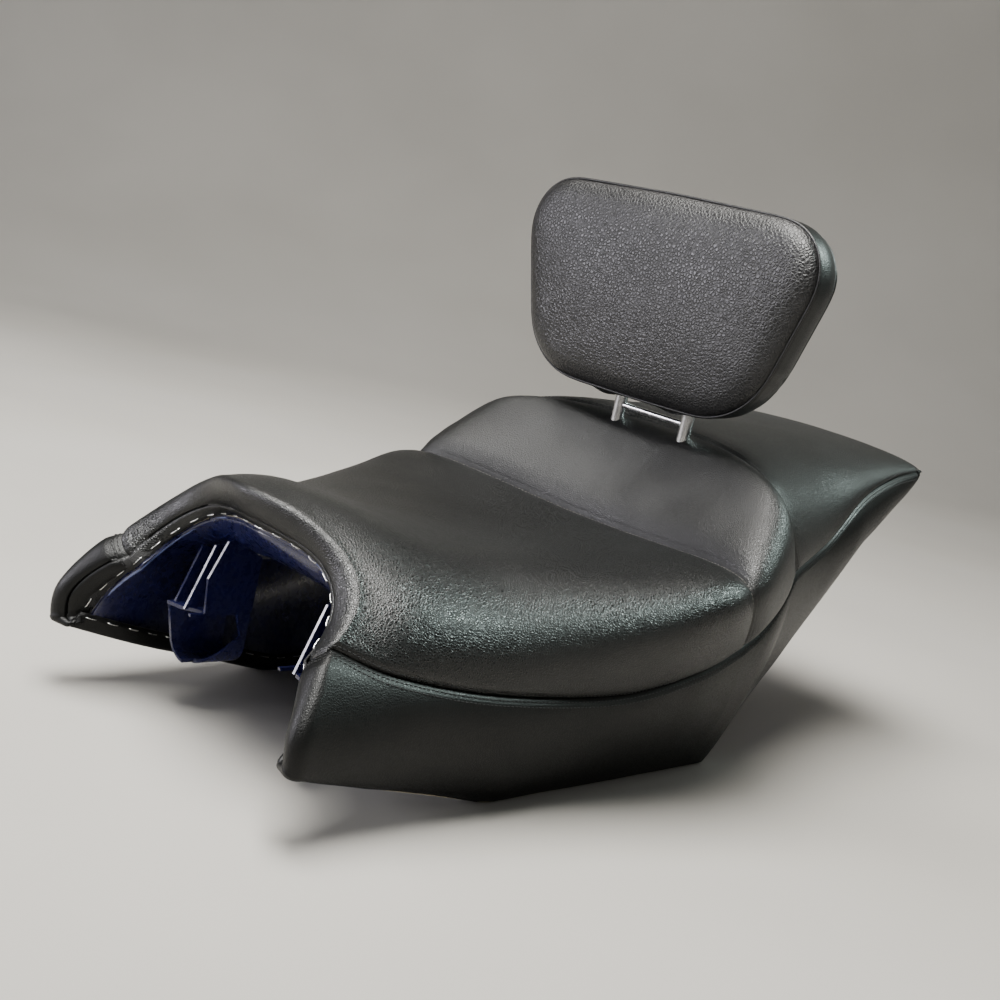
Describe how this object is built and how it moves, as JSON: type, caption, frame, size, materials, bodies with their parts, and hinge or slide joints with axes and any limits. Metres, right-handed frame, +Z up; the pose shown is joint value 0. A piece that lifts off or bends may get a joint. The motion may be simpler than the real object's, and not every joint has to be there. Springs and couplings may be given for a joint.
{
  "type": "motorcycle seat",
  "caption": "One-piece touring motorcycle seat with a dished driver's area, a raised lumbar step, a narrowing passenger seat and a plug-in padded backrest on two steel posts.",
  "frame": {"origin": "on the floor under the middle of the seat's box, with the seat standing on its skirt edges", "axes": "+Y from the nose to the tail, +Z up along the backrest posts, +X to the rider's left"},
  "size_m": [0.4584, 0.8349, 0.515],
  "materials": {
    "cover_vinyl": "satin",
    "panel_vinyl": "matte",
    "pad_vinyl": "matte",
    "pad_side_vinyl": "satin",
    "foam": "matte",
    "pan_plastic": "gloss",
    "rubber": "matte",
    "bright_steel": "polished",
    "zinc_steel": "satin",
    "staple_steel": "satin",
    "black_steel": "satin",
    "nylon": "matte",
    "board": "matte"
  },
  "bodies": {
    "seat": {"seat_pan": "pan_plastic", "front_locator_left": "pan_plastic", "front_locator_right": "pan_plastic", "driver_foam": "foam", "bolster_foam": "foam", "passenger_foam": "foam", "side_foam_left": "foam", "side_foam_right": "foam", "cover_driver": "cover_vinyl", "cover_bolster": "panel_vinyl", "cover_passenger": "panel_vinyl", "cover_skirt_left": "cover_vinyl", "cover_skirt_right": "cover_vinyl", "cover_tail": "cover_vinyl", "cover_front_edge": "cover_vinyl", "edge_staples": "staple_steel", "rubber_buffers": "rubber", "buffer_screws": "zinc_steel", "striker_plate": "black_steel", "latch_striker": "zinc_steel", "striker_bolts": "zinc_steel", "rear_bracket": "black_steel", "rear_bracket_screws": "zinc_steel", "receiver_bracket": "black_steel", "receiver_tube_left": "black_steel", "receiver_tube_right": "black_steel", "receiver_bush_left": "nylon", "receiver_bush_right": "nylon", "receiver_bolts": "zinc_steel"},
    "backrest": {"post_left": "bright_steel", "post_right": "bright_steel", "post_brace": "bright_steel", "pad_plate": "black_steel", "pad_plate_screws": "zinc_steel", "pad_board": "board", "pad_foam": "foam", "pad_cover_front": "pad_vinyl", "pad_boxing": "pad_side_vinyl", "pad_cover_back": "pad_side_vinyl"}
  },
  "joints": [
    {"name": "backrest_slide", "type": "slide", "parent": "seat", "child": "backrest", "axis": [0, 0, 1], "range_m": [0, 0.06]}
  ]
}
